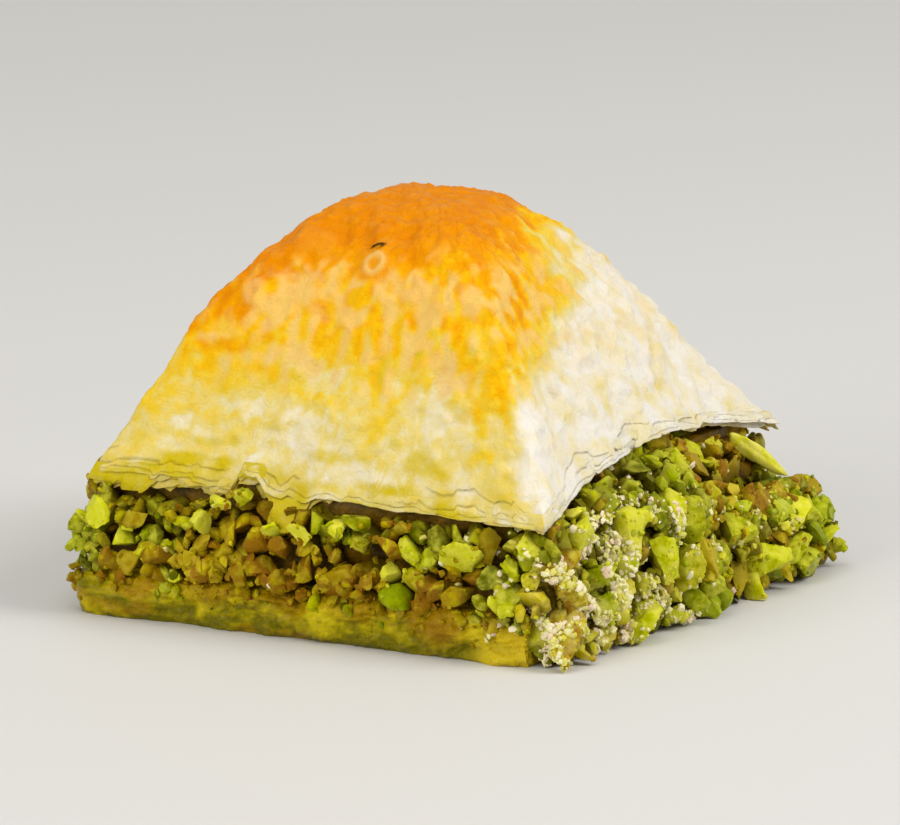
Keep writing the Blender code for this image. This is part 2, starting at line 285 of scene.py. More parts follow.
MARK_BAKE = 0.93
# Pale, cream and soaked marks there, as (along, share, half width, half height), some with a strength
PALE_MARKS = (
    (-0.45, 0.44, 0.19, 0.06), (0.42, 0.47, 0.2, 0.04), (0.79, 0.48, 0.11, 0.04),
    (0.96, 0.37, 0.06, 0.06), (-0.1, 0.38, 0.11, 0.02), (-0.53, 0.33, 0.07, 0.02),
    (-0.8, 0.285, 0.1, 0.01), (-0.45, 0.26, 0.08, 0.02), (0.55, 0.31, 0.09, 0.02),
)
CREAM_MARKS = (
    (-0.13, 0.24, 0.17, 0.03), (-0.17, 0.12, 0.15, 0.05), (-0.47, 0.16, 0.15, 0.02),
    (-0.76, 0.11, 0.06, 0.015), (0.16, 0.05, 0.2, 0.02), (-0.36, 0.05, 0.06, 0.015),
    (0.5, 0.2, 0.12, 0.06),
)
SOAKED_MARKS = (
    (-0.65, 0.03, 0.17, 0.026), (-0.47, 0.035, 0.06, 0.03), (-0.12, 0.005, 0.11, 0.035),
    (0.31, 0.033, 0.12, 0.01), (0.47, 0.085, 0.08, 0.024, 0.75), (-0.46, 0.085, 0.024, 0.01, 0.8),
    (-0.33, 0.12, 0.06, 0.014, 0.6), (-0.86, 0.01, 0.07, 0.025), (0.65, 0.01, 0.13, 0.01),
    (-0.59, 0.08, 0.1, 0.01, 0.6), (0.02, 0.08, 0.14, 0.012, 0.65), (0.75, 0.14, 0.04, 0.05, 0.3),
    (0.19, 0.25, 0.03, 0.06, 0.4), (0.39, 0.318, 0.03, 0.012, 0.7), (0.3, 0.12, 0.04, 0.01, 0.6),
)
RING_BLISTER = (-0.005, 0.545, 1.25)  # (along, share, radius)
BURNT_SPECK = (-0.025, 0.612, 0.5)
PALE_WAY = np.array((1.0, 0.2))  # the pale side of the crust lies this way, less baked and partly painted light from the right
PALE_START = 14.4
PALE_RIDGE = 0.6  # how far it reaches past the ridge at the front corner
PALE_GAIN = 25.0
PALE_GAIN_START = 0.68


def skin_shares(angle):
    """Shares of the skin's rows and how proud each leaf's surface is there, as rows by columns."""
    starts = [LEAF_GAPS[0] * np.clip(torn_line(angle, TORN_CORNERS, 3) * 2.2 - 1.2, 0, 1)]
    for k, gap in enumerate(LEAF_GAPS):
        starts.append(starts[-1] + gap * (0.15 + torn_line(angle, TORN_CORNERS, 20 + k)))
    shares, lips = [], []
    for k in range(len(starts) - 1):
        lip = LEAF_LIP * np.clip(2.4 * torn_line(angle, TORN_CORNERS // 3, 30 + k) - 0.9, 0, 1)
        for step in np.linspace(0, 1, LEAF_ROWS):
            shares.append(mix(starts[k], starts[k + 1], step))
            lips.append(lip * (1 - step) ** 1.5 * min(k, 1))
    lip = 0.7 * LEAF_LIP * np.clip(3 * torn_line(angle, TORN_CORNERS // 3, 40) - 1.6, 0, 1)
    for step in np.linspace(0, 1, CROWN_ROWS) ** 1.12:
        shares.append(mix(starts[-1], CROWN_CAP_SHARE, step))
        lips.append(lip * (1 - min(1, step * 12)))
    return np.array(shares), np.array(lips)


def front_profile(marks, side, along):
    """The heights of these marks, as (along, half width, height), at places round the piece."""
    total = np.zeros(np.shape(along))
    for middle, half_width, height in marks:
        depth = smooth_step(1, 0.55, np.abs(along - middle) / half_width)
        total = total + height * depth * (side == FRONT_SIDE)
    return total


def blisters(points):
    """How much each point of the skin is raised by blisters, in millimetres."""
    draw = np.random.RandomState(BLISTER_SEED)
    raised = np.zeros(points.shape[:-1])
    for count, least, most, height in BLISTER_COUNTS:
        for _ in range(count):
            place = draw.randint(SIDES), draw.uniform(-0.97, 0.97), draw.uniform(0.1, 0.95)
            distance = np.linalg.norm((points - place_on_crust(*place)) / (1, 1, 1.6), axis=-1)
            distance = distance / draw.uniform(least, most)
            blister = draw.uniform(0.3, 1) * height * (1 - smooth_step(0.3, 1, distance))
            raised = np.maximum(raised, blister)
    return raised


def flakes(points):
    """How much thin leaves raise each point, in millimetres, and how near the end of one it is."""
    raised, ends = np.zeros(points.shape[:-1]), np.zeros(points.shape[:-1])
    for k, level in enumerate(FLAKES):
        over = noise_at(points / FLAKE_SIZE + 9.3 * k) - level + 0.12 * noise_at(points / 0.9 + k)
        raised = raised + FLAKE_STEP * smooth_step(-0.02, 0.03, over)
        ends = np.maximum(ends, np.exp(-((over / 0.025) ** 2)))
    return raised - FLAKE_STEP * len(FLAKES) / 2, ends


def ring_blister(points):
    """How much each point is of the round blister's rim, of the gold round it and of the burnt speck."""
    along, share, radius = RING_BLISTER
    distance = np.linalg.norm(points - place_on_crust(FRONT_SIDE, along, share), axis=-1) / radius
    rim = np.exp(-(((distance - 0.7) / 0.26) ** 2))
    halo = smooth_step(2.0, 1.3, distance + 0.4 * noise_at(points / 1.1))
    along, share, radius = BURNT_SPECK
    offset = points - place_on_crust(FRONT_SIDE, along, share)
    distance = np.linalg.norm(offset / (1.5, 1, 0.7), axis=-1) / radius
    return rim, halo, 1 - smooth_step(0.6, 1.1, distance + 0.9 * noise_at(points / 0.35))


def mark_depth(mark, side, along, share, wander):
    """How much each point is in a mark on the -Y side, 0 to 1, with an uneven outline."""
    middle, height, half_width, half_height = mark[:4]
    across, up = (along - middle) / half_width, (share - height) / half_height
    return smooth_step(0, 1.25, 1.6 - np.sqrt(across**2 + up**2) + wander) * (side == FRONT_SIDE)


def marked(marks, side, along, share, wander):
    """How much each point is in any of these marks."""
    depth = np.zeros(along.shape)
    for mark in marks:
        strength = mark[4] if len(mark) > 4 else 1.0
        depth = np.maximum(depth, strength * mark_depth(mark, side, along, share, wander))
    return depth


def crust_colours(side, along, share, points, raised, ends):
    """Attributes that the filo material paints with, each 0 to 1."""
    height = (points[..., 2] - CRUST_UNDERSIDE) / (CRUST_PEAK - CRUST_UNDERSIDE)
    dashes = noise_at(points / (1.3, 1.3, 4.4))
    short_dashes = noise_at(points / (0.75, 0.75, 1.9) + 5)
    patches = noise_at(points / 5.5)
    dots = noise_at(points / 2.0 + 7)
    shady = np.clip(-points[..., 0] / 13, -1, 1)
    tone = height + 0.05 * shady + 0.05 * patches + 0.03 * dots
    bake = np.interp(tone, BAKE_HEIGHTS, BAKE_THERE)
    crest = np.where(side == FRONT_SIDE, smooth_step(-0.6, -0.8, along), side == LEFT_SIDE)
    bake = bake + 0.22 * crest * smooth_step(0.44, 0.62, height) * (1 - smooth_step(0.8, 0.9, height))
    mottled = smooth_step(0.26, 0.46, height) * (1 - smooth_step(0.76, 0.84, height))
    bake = bake + mottled * (0.26 * dashes + 0.16 * short_dashes) + 0.1 * dots * (1 - mottled)
    wander = 0.9 * dashes + 0.6 * dots
    bake = bake + 0.07 * ends * smooth_step(0.1, 0.4, height)
    golden = np.zeros(share.shape)
    for mark in GOLDEN_MARKS:
        depth = mark_depth(mark, side, along, share, wander)
        bake = mix(bake, mark[4] * MARK_BAKE + 0.12 * short_dashes, depth)
        golden = np.maximum(golden, depth)
    pale = mottled * smooth_step(-0.1, 0.35, -1.2 * dashes + 0.5 * dots + 0.3 * short_dashes)
    pale = pale * (1 - 0.75 * crest)
    pale = np.maximum(pale, 0.95 * marked(PALE_MARKS, side, along, share, 0.8 * short_dashes + dots))
    pale = np.maximum(pale, smooth_step(0.06, 0.2, raised) * smooth_step(0.4, 0.6, height) * 0.7)
    pale = pale * (1 - golden) * (1 - 0.9 * smooth_step(0.79, 0.86, tone))
    cream = marked(CREAM_MARKS, side, along, share, short_dashes + dots)
    bake = bake * (1 - 0.62 * cream)
    # the +X side is painted pale cream: partly less baked, partly painted light from the right
    away = points[..., :2] @ PALE_WAY - PALE_START + PALE_GAIN * np.maximum(height - PALE_GAIN_START, 0)
    away = np.minimum(away, PALE_RIDGE + points[..., 0] + points[..., 1])
    pale_lit_side = smooth_step(-1.2, 1.4, away + 1.1 * dashes + 0.8 * patches)
    soft = noise_at(points / (2.6, 2.6, 3.2) + 21)
    bake = bake * (1 - pale_lit_side) + pale_lit_side * (0.05 + 0.02 * dashes + 0.09 * soft + 0.08 * dots)
    pale = pale * (1 - 0.8 * pale_lit_side)
    rim, halo, burnt = ring_blister(points)
    bake = mix(bake, np.maximum(bake, 0.78), 0.85 * halo)
    pale = pale * (1 - 0.9 * halo)
    low = 1 - smooth_step(0.02, 0.26, height + 0.07 * dashes)
    streaks = noise_at(points / (3.0, 3.0, 1.1) + 3)
    soak = 0.55 * low * smooth_step(-0.05, 0.3, streaks + 0.4 * dots)
    soak = soak + 0.16 * (1 - smooth_step(0.1, 0.5, height)) * smooth_step(-0.3, 0.3, dots + dashes)
    soak = soak * (1 - 0.7 * cream) * (1 - 0.75 * pale_lit_side)
    soak = np.maximum(soak, marked(SOAKED_MARKS, side, along, share, 0.8 * streaks + 0.8 * dots))
    attributes = {"bake": bake, "soak": soak, "pale": np.maximum(pale, 1.1 * rim), "burnt": burnt}
    return {key: np.clip(values, 0, 1) for key, values in attributes.items()}


def make_crust(material):
    """The crust: a skin with relief, closed by a hollowed underside."""
    side, along = ring_places(SKIN_POINTS_PER_SIDE)
    angle = angle_at(side, along)
    share, lips = skin_shares(angle)
    side, along, angle = (np.broadcast_to(a, share.shape) for a in (side, along, angle))
    right, front_right, rest = LIP_SHARES
    rest = np.where((side == FRONT_SIDE) & (along > 0.1), front_right, rest)
    lips = lips * np.where(side == SPILL_SIDE, right, rest)
    points, away = crust_points(side, along, share, lips)
    relief = sum(
        height * (0.5 - np.abs(noise_at(points / (width, width, length))) * 2)
        for width, length, height in CREASES
    ) * smooth_step(0.04, 0.2, share) * (1 - 0.7 * smooth_step(0.7, 0.9, share))
    mottle = sum(height * noise_at(points / size) for size, height in MOTTLE)
    start, end, gain = MOTTLE_GAIN
    relief = relief + mottle * (1 + gain * smooth_step(start, end, points[..., 0]))
    raised = blisters(points)
    rim, _, burnt = ring_blister(points)
    layers, ends = flakes(points)
    relief = relief + raised + layers + 0.22 * rim + 0.12 * burnt
    attributes = crust_colours(side, along, share, points, raised, ends)
    points = points + away * relief[..., None]
    rows, columns = share.shape
    droop = 0.3 * noise_round(angle[0], 30, 9.0) + 0.15 * noise_round(angle[0], 110, 2.0)
    droop = droop + front_profile(EDGE_MARKS, side[0], along[0])
    points[..., 2] -= droop * (1 - smooth_step(0, 0.08, share))
    under = np.array([points[0] * (scale, scale, 1) + (0, 0, rise) for scale, rise in UNDERSIDE_RINGS])
    everything = np.concatenate((under, points)).reshape(-1, 3)
    middles = np.array([(0, 0, under[0, :, 2].mean()), points[-1].mean(0) + (0, 0, 0.02)])
    faces = closed_faces(rows + len(under), columns)
    for key, values in attributes.items():
        below = np.repeat(values[:1], len(under), 0)
        flat = np.concatenate((below, values)).ravel()
        attributes[key] = np.concatenate((flat, (flat[0], flat[-1])))
    everything = np.concatenate((everything, middles))
    crust = mesh_piece("filo_skin", everything, faces, material, attributes)
    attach(crust, "root")
    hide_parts("filo_crust")


# Torn leaves under the crust's edge

EDGE_SHEETS = 5
SHEET_POINTS_PER_SIDE = 170
SHEET_ROWS = 4
SHEET_THICKNESS = 0.09
SHEET_STEP = 0.24  # how far each sheet lies under the last
SHEET_START = -1.6  # where the sheets begin, as a way down the slope past the crust's edge
SHEET_REACH = (-0.9, 0.6)
CALM_REACH = (-1.3, -0.25)  # where the edge is smoother, on the +X side and the right half of the -Y side
FLAPS = ((-0.12, 0.1, 2.3), (-0.78, 0.07, 0.8))  # torn sheets that hang down, as in EDGE_MARKS
FLAP_SHEETS = 2
SHEET_FALL = math.radians(56)  # slope of the crust at its edge


def make_edge_leaves(material):
    """Thin leaves under the crust's edge, whose torn ends stick out a little."""
    side, along = ring_places(SHEET_POINTS_PER_SIDE)
    angle = angle_at(side, along)
    level = level_way(angle)
    down = level * math.cos(SHEET_FALL) - np.array((0, 0, math.sin(SHEET_FALL)))
    inward = -level * math.sin(SHEET_FALL) - np.array((0, 0, math.cos(SHEET_FALL)))
    edge, _ = crust_points(side, along, np.zeros(len(side)))
    edge[:, 2] -= front_profile(EDGE_MARKS, side, along)
    calm = np.where(side == SPILL_SIDE, 1.0, (side == FRONT_SIDE) * smooth_step(0.0, 0.2, along))
    everything, faces, soak, bake = [], [], [], []
    columns = len(side)
    for sheet in range(EDGE_SHEETS):
        ragged = torn_line(angle, TORN_CORNERS, 50 + sheet)
        ragged = ragged + 0.35 * torn_line(angle, 3 * TORN_CORNERS, 60 + sheet)
        ragged = ragged * torn_line(angle, TORN_CORNERS // 3, 70 + sheet) ** 0.5 + 0.06 * sheet
        reach = mix(mix(*SHEET_REACH, ragged), mix(*CALM_REACH, ragged), calm)
        if sheet < FLAP_SHEETS:
            reach = reach + front_profile(FLAPS, side, along) * (1 - 0.3 * sheet) + 0.3 * ragged
        flutter = 0.32 * noise_round(angle, 44, 20 + sheet) + 0.14 * noise_round(angle, 130, sheet)
        rings = []
        steps = np.linspace(0, 1, SHEET_ROWS)
        for skin, order in ((0, steps), (SHEET_THICKNESS, steps[::-1])):
            for step in order:
                way = mix(SHEET_START, reach, step)[:, None]
                depth = (sheet + 0.6) * SHEET_STEP + skin - flutter * step**2
                rings.append(edge + down * way + inward * depth[:, None])
        count = len(rings)
        first = sheet * count * columns
        everything.append(np.array(rings).reshape(-1, 3))
        last = first + (count - 1) * columns
        here = np.arange(columns)
        beside = (here + 1) % columns
        seam = np.stack((first + beside, first + here, last + here, last + beside), -1)[:, ::-1]
        faces += [grid_faces(count, columns, first)[:, ::-1], seam]
        wet = smooth_step(-0.2, 0.35, noise_round(angle, 30, 3.0 + sheet)) * (1 - 0.7 * calm)
        wet = np.maximum(wet, smooth_step(0, 0.6, front_profile(FLAPS, side, along)))
        soak.append(np.tile(wet, count))
        # sheets on the +X side are paler, partly as painted light from the right
        baked = 0.24 - 0.16 * (side == SPILL_SIDE) + 0.1 * noise_round(angle, 60, sheet)
        bake.append(np.tile(baked, count))
    points = np.concatenate(everything)
    none = np.zeros(len(points))
    bake, soak = np.concatenate(bake), np.concatenate(soak)
    attributes = {"bake": bake, "soak": soak, "pale": none, "burnt": none}
    leaves = mesh_piece("filo_edge_leaves", points, faces, material, attributes)
    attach(leaves, "root")


# The base

BASE_POINTS_PER_SIDE = 160
BASE_ROWS = 46
BASE_LEAVES = 8
BASE_GROOVE = 0.2
# The unevenness of its sides, as (count round, changes up, height)
BASE_WAVES = ((20, 0.9, 0.6), (56, 1.8, 0.6), (130, 4.2, 0.35), (300, 10.0, 0.25))
BASE_TOP_ROUNDING = 1.1
BASE_FOOT_ROUNDING = 0.4
RIM_DIPS = (0.5, 0.9)  # how far the top edge of the base lies below its top, and how much that varies


def make_base(material):
    """Soaked leaves pressed to one moist slab, whose lines run together here and there."""
    side, along = ring_places(BASE_POINTS_PER_SIDE)
    angle = angle_at(side, along)
    place = np.linspace(0, 1, BASE_ROWS)[:, None] + 0 * angle
    angle = angle + 0 * place
    leaf = BASE_LEAVES * place + 2.6 * noise_round(angle, 14, place * 1.5)
    leaf = leaf + 0.8 * noise_round(angle, 60, place * 2)
    parted = smooth_step(0.0, 0.4, noise_round(angle, 24, place * 4 + 2))
    groove = parted * (1 - np.sqrt(np.abs(np.sin(leaf * math.pi))))
    waves = sum(rise * noise_round(angle, count, place * changes) for count, changes, rise in BASE_WAVES)
    ends = BASE_TOP_ROUNDING * place**7 + BASE_FOOT_ROUNDING * (1 - place) ** 9
    radius = superellipse(angle, BASE_HALF - 0.1 + waves - BASE_GROOVE * groove - ends, BASE_SQUARENESS)
    level = level_way(angle)[..., :2] * radius[..., None]
    level[..., 0] = np.minimum(level[..., 0], BASE_SPILL_HALF + 0.5 * waves - BASE_GROOVE * groove)
    dip = (RIM_DIPS[0] + RIM_DIPS[1] * noise_round(angle, 34, 5.0 + 0 * place)) * place**2
    points = np.concatenate((level, (place * BASE_TOP - dip)[..., None]), -1)
    tone = 0.52 + 0.4 * noise_round(angle, 40, place * 1.6) + 0.5 * noise_round(angle, 110, place * 4.5)
    tone = tone + 0.35 * noise_round(angle, 300, place * 12)
    tone = tone + 0.25 * smooth_step(0.55, 0.95, place) - 0.42 * (1 - smooth_step(0, 0.75, place))
    tone = np.clip(tone - 0.3 * groove, 0, 1)
    brown = noise_round(angle, 34, place * 1.4 + 9) + 0.35 * noise_round(angle, 110, place * 4)
    brown = smooth_step(0.08, 0.4, brown)
    brown = np.maximum(brown * (0.4 + 0.6 * place), 0.25 * smooth_step(0.65, 0.97, place))
    brown = np.maximum(brown, 0.9 * browned(points))
    corner = np.linalg.norm((points - (BASE_SPILL_HALF, -BASE_HALF, 1.0)) / (1.3, 1, 0.7), axis=-1)
    yellow = 1 - smooth_step(1.5, 5.5, corner + 2.5 * noise_round(angle, 90, place * 3))
    attributes = {"tone": tone, "brown": brown, "yellow": yellow}
    attributes = {key: np.append(values, (0.5, 0.5)) for key, values in attributes.items()}
    points = np.concatenate((points.reshape(-1, 3), [(0, 0, 0), (0, 0, BASE_TOP)]))
    base = mesh_piece("soaked_leaves", points, closed_faces(*place.shape), material, attributes)
    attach(base, "root")
    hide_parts("base_leaves")


# The nut layer

NUT_SEED = 11
CHOPPED_COUNT = 600
ROUGH_COUNT = 150  # the standing nuts and the largest others, which have the finest surface
CHOPPED_SIZE = (1.7, 5.8)
BIT_COUNT = 1500
BIT_SIZE = (0.8, 1.9)
CRUMB_COUNT = 3800
CRUMB_SIZE = (0.22, 0.8)
STUCK_SHARE = 0.12  # of the bits and crumbs stick to the sides of the base
FRONT_LARGEST = 3.5  # nuts above this size lie on the +X side
MEAL_COUNT = 5200
MEAL_SIZE = (0.2, 0.85)
MEAL_CLUMP = 2.6  # size of its clumps
MEAL_STRAY = 0.0006  # how likely it lies elsewhere
# Where pale meal lies, as (place, spread, share): at the front corner of the spill, and at its far end
MEAL_HEAPS = (((25.5, -17.8, 4.6), (5.5, 12.0, 5.6), 1.0), ((29.5, 13.0, 7.7), (2.4, 4.0, 1.8), 0.3))
# Where nuts and base are soaked brown, or only amber below 0.7, as (x, y, z, reach, how brown)
BROWN_PLACES = (
    (-2.6, -24.4, 7.0, 6.0, 0.95), (2.2, -24.4, 6.6, 4.2, 0.9), (-6.9, -24.0, 10.6, 3.4, 0.92),
    (-10.6, -24.4, 6.2, 4.8, 0.85), (13.0, -24.4, 5.0, 4.6, 0.95),
    (5.7, -24.4, 5.6, 3.6, 0.9), (-19.8, -24.4, 11.0, 4.6, 0.68), (29.1, 5.8, 3.8, 5.0, 0.68),
    (27.0, 3.6, 13.6, 3.0, 0.95), (26.5, -10.1, 7.0, 3.0, 0.9), (23.0, -24.4, 5.6, 4.0, 0.7),
    (25.0, -14.5, 12.6, 3.0, 0.66),
)
NUT_FORM = np.array((1.25, 0.95, 0.78))
NUT_ROUGHNESS = ((1.6, 0.13), (4.5, 0.08), (9.0, 0.04))  # (bumps across, height) as shares of the piece
NUT_CUTS = (0.3, 0.75)  # how far from its middle a nut is cut flat, as a share of its radius
NUT_CREASE = math.radians(40)  # angle from which an edge is sharp
NUT_RISE = (-0.5, 0.12)  # how far a nut's middle lies outside its bed, as a share of its size
BIT_RISE = (-1.3, 0.3)  # and a bit's, in millimetres
CORE_CUTS = 22
CORE_LUMPS = (1.8, 0.5)  # (size, height)
STANDING_SKIN = 0.4
SIDE_REACH = 25.6
SPILL_END_INSET = 0.8
SPILL_PROUD = 2.5
LEDGE_COVER = 2.0  # how far the lowest nuts reach past the rest, over the edge of the base
HEAP_TOP = 12.3  # of the spill's far end, where it leaves the crust
HEAP_FALL = 0.95
HEAP_FRONT = (-4, 16, 3.0)  # up to the first y it lies higher by this, and from the second no more
HEAP_SLACK = (-0.6, 1.3)  # how far above it nuts there may reach
SPILL_LIMIT = 32.4
SLIVER_ENDS = ((23.3, 16.6, 13.0), (27.9, 19.0, 9.2))  # of a long cut of nut under the crust's tip
SLIVER_SIZE = (6.8, 1.5, 1.0)
SPILL_FOOT, SPILL_HEAD = 0.9, 13.6  # heights between which the spill's slope runs
NUT_DEPTHS = (0.3, 2.3)  # depths between which nuts darken with painted shade
CORE_INSET = 1.6
LOWEST_NUT = 1.3  # how far the outer nuts hang below the top of the base
# Open gaps over the nuts of the -Y side, as in EDGE_MARKS
NUT_GAPS = ((-0.67, 0.22, 1.6), (0.3, 0.44, 0.5))
# Nuts that stand out in the photograph, as (x, y, z, size, tone), and holes as (x, y, z, size)
STANDING_NUTS = (
    (24.7, -18.6, 11.0, 5.6, 0.75), (25.5, -11.6, 11.6, 5.6, 0.9), (25.1, -10.2, 14.0, 3.4, 0.95),
    (26.2, -3.2, 12.4, 4.4, 0.7), (27.0, -1.3, 9.1, 5.4, 0.55), (28.0, 6.3, 8.8, 4.2, 0.5),
    (26.8, -6.2, 6.5, 4.6, 0.65), (29.8, 15.4, 5.9, 4.0, 0.55), (30.3, 20.6, 3.4, 4.8, 0.7),
    (29.6, 10.3, 3.0, 4.6, 0.65), (30.6, 16.3, 2.2, 4.4, 0.3), (27.0, -10.4, 2.2, 5.0, 0.6),
    (25.7, -15.1, 5.5, 3.0, 0.3), (-0.4, -24.4, 9.9, 3.2, 0.9), (15.9, -24.4, 9.8, 4.2, 0.75),
    (-11.1, -24.4, 9.8, 3.2, 0.85), (-3.9, -24.4, 9.9, 2.4, 0.8), (3.2, -24.4, 10.8, 2.2, 0.95),
    (-6.8, -23.8, 12.5, 2.6, 0.75), (-9.0, -24.4, 12.4, 2.2, 0.9), (-21.5, -24.4, 9.5, 3.0, 0.7),
    (10.5, -24.4, 9.6, 2.8, 0.7), (20.5, -24.3, 9.0, 3.2, 0.55), (-22.4, -23.4, 7.0, 3.6, 0.35),
)
NUT_HOLES = (
    (26.4, -9.4, 7.2, 2.4), (24.0, -16.0, 13.6, 2.4), (28.6, 11.4, 9.2, 3.4), (28.9, 5.4, 3.6, 2.0),
    (18.0, -24.4, 7.0, 2.4), (6.5, -24.4, 9.0, 2.4), (-7.5, -24.4, 10.6, 2.2), (-2.9, -25.2, 11.8, 4.4),
    (27.8, 7.1, 12.2, 3.2),
)


def spill_slope():
    """The spill's slope: its foot at the front and at the back, its top, and its outward direction."""
    front = np.array((SPILL_FRONT_REACH, -SPILL_LENGTH, SPILL_FOOT))
    back = np.array((SPILL_BACK_REACH, SPILL_LENGTH, SPILL_FOOT))
    top = np.array((FILLING_HALF, -SPILL_LENGTH, SPILL_HEAD))
    slope = np.cross(back - front, top - front)
    return front, back, top, slope / np.linalg.norm(slope)


def nut_beds():
    """Patches on which nuts show, as (corner, way along, way up, outward, share of the nuts)."""
    half, length = FILLING_HALF, SPILL_LENGTH
    low, high = BASE_TOP + 0.1, FILLING_TOP - 0.5
    beds = []
    for start, end, outward in (
        ((half, half), (-half, half), (0, 1, 0)),
        ((-half, half), (-half, -half), (-1, 0, 0)),
        ((-half, -half), (half, -half), (0, -1, 0)),
    ):
        corner = np.array((*start, low))
        beds.append((corner, np.array((*end, low)) - corner, np.array((0, 0, high - low)), outward, 0.17))
    ledge = np.array((18.5, -length + 1, FILLING_TOP + 0.5))
    beds.append((ledge, np.array((0, 2 * length - 2, 0)), np.array((5.0, 0, -0.5)), (0.0, 0, 1), 0.07))
    arch = np.array((19.5, -14.0, FILLING_TOP + 1.6))
    beds.append((arch, np.array((0, 22.0, 0)), np.array((4.0, 0, 0)), (0.0, 0, 1), 0.05))
    heap = np.array((23.0, -2.0, HEAP_TOP - 1.6))
    beds.append((heap, np.array((0, length, 0)), np.array((6.5, 0, -6.5 * HEAP_FALL)), (0.0, 0, 1), 0.07))
    front, back, top, slope = spill_slope()
    beds.append((front, back - front, top - front, tuple(slope), 0.39))
    for outer, outward in ((front, (0.3, -1, 0.2)), (back, (0.3, 1, 0.2))):
        inner = np.array((half - 1.5, outer[1], SPILL_FOOT))
        beds.append((inner, outer - inner, np.array((0, 0, 7.5)), outward, 0.05))
    return beds


def bed_places(draw, count, spill_only=False):
    """Random places on the beds, and the outward direction at each."""
    beds = nut_beds()
    shares = np.array([bed[4] for bed in beds])
    if spill_only:
        shares[:3] = 0
    chosen = draw.choice(len(beds), count, p=shares / shares.sum())
    along, up = draw.uniform(0, 1, count), draw.uniform(0, 1, count)
    on_end = chosen >= len(beds) - 2
    folded = on_end & (along + up > 1)
    along, up = np.where(folded, 1 - along, along), np.where(folded, 1 - up, up)
    corner, way, rise, outward = (np.array([bed[k] for bed in beds])[chosen] for k in range(4))
    outward = outward / np.linalg.norm(outward, axis=1, keepdims=True)
    cover = (LEDGE_COVER * (1 - up) ** 2 + 0.3) * (chosen < 3)
    return corner + way * along[:, None] + rise * up[:, None] + outward * cover[:, None], outward


def spaced_places(draw, sizes, tries=14):
    """Places for pieces of these sizes, largest first, each the freest of a few random ones."""
    kept = np.array([nut[:4] for nut in STANDING_NUTS] + list(NUT_HOLES))
    places, widths = kept[:, :3], kept[:, 3]
    outwards = []
    for size in sizes:
        options, outward = bed_places(draw, tries, size > FRONT_LARGEST)
        options = options + outward * draw.uniform(*NUT_RISE, (tries, 1)) * size
        gaps = np.linalg.norm(options[:, None] - places[None], axis=-1)
        best = np.argmax((gaps / (size + widths)).min(1))
        places = np.concatenate((places, options[best : best + 1]))
        widths = np.append(widths, size)
        outwards.append(outward[best])
    return places[len(kept) :], np.array(outwards)


def out_of_holes(places, outwards):
    """Those places that aren't in a hole, and their outward directions."""
    free = np.ones(len(places), bool)
    for x, y, z, size in NUT_HOLES:
        free &= np.linalg.norm(places - (x, y, z), axis=1) > size / 2
    return places[free], outwards[free]


def heap_height(x, y):
    """How high nuts lie on the spill, outside the crust's edge."""
    start, end, rise = HEAP_FRONT
    slope = HEAP_TOP - HEAP_FALL * np.maximum(x - CRUST_EDGE_HALF, 0)
    return slope + rise * (1 - smooth_step(start, end, y))


def ceiling(points):
    """The height that nuts keep below, under the crust, at its edge and on the spill."""
    x, y = points[..., 0], points[..., 1]
    wide = np.abs(x) > np.abs(y)
    side = np.where(wide, np.where(x > 0, 0, 2), np.where(y > 0, 1, 3))
    reach = np.maximum(np.maximum(np.abs(x), np.abs(y)), 0.1)
    along = np.choose(side, (y, -x, -y, x)) / reach
    edge = CRUST_UNDERSIDE + EDGE_LIFT[side] * (1 - along * along)
    edge = edge - front_profile(EDGE_MARKS + NUT_GAPS, side, along)
    half_side = CRUST_EDGE_HALF - MID_SIDE_PULL * (1 - along * along)
    inward = np.clip((half_side - reach) / 3, 0, 1)
    heap = np.where(x > CRUST_EDGE_HALF, heap_height(x, y), CRUST_PEAK)
    return np.minimum(edge - 0.2 + 1.1 * inward, heap)


def chunk_shape(level):
    """Points and faces of a ball of triangles."""
    builder = bmesh.new()
    bmesh.ops.create_icosphere(builder, subdivisions=level, radius=1.0)
    points = np.array([vert.co for vert in builder.verts])
    faces = np.array([[vert.index for vert in face.verts] for face in builder.faces])
    builder.free()
    return points, faces


def turn(draw):
    """A random rotation."""
    rotation, _ = np.linalg.qr(draw.normal(size=(3, 3)))
    return rotation * np.sign(np.linalg.det(rotation))


def settle(shape, place, outward, slack):
    """The piece moved to its place, then down, in or up until it keeps its room."""
    shape = shape + place
    shape[:, 0] -= max(0.0, shape[:, 0].max() - SPILL_LIMIT)
    if outward[0] > 0.3:
        beyond = ((shape - spill_slope()[0]) @ outward).max() - SPILL_PROUD
        shape = shape - outward * max(0.0, beyond)
    reach = SIDE_REACH - SPILL_END_INSET * (place[0] > BASE_SPILL_HALF)
    shape[:, 1] += max(0.0, -reach - shape[:, 1].min())
    shape[:, 1] -= max(0.0, shape[:, 1].max() - reach)
    shape[:, 0] += max(0.0, -SIDE_REACH - shape[:, 0].min())
    slack = slack * (place[0] > CRUST_EDGE_HALF + 1.5)
    shape[:, 2] -= max(0.0, (shape[:, 2] - ceiling(shape)).max() - slack)
    on_floor = place[2] < BASE_TOP or place[0] > BASE_SPILL_HALF + 0.6
    floor = 0.05 if on_floor else BASE_TOP - LOWEST_NUT
    shape[:, 2] += max(0.0, floor - shape[:, 2].min())
    shape[:, 2] = np.minimum(shape[:, 2], ceiling(shape) + slack)
    return shape


def meal_nearness(points):
    """How near each point is to the places where meal lies, 0 to 1."""
    return sum(
        share * np.exp(-(((points - np.array(place)) / spread) ** 2).sum(-1))
        for place, spread, share in MEAL_HEAPS
    )


def browned(points):
    """How much each point lies in a brown or amber place, 0 to 1."""
    depth = np.zeros(points.shape[:-1])
    for x, y, z, reach, brown in BROWN_PLACES:
        distance = np.linalg.norm(points - (x, y, z), axis=-1) + 0.8 * noise_at(points / 2.2)
        depth = np.maximum(depth, brown * smooth_step(reach, 0.55 * reach, distance))
    return depth


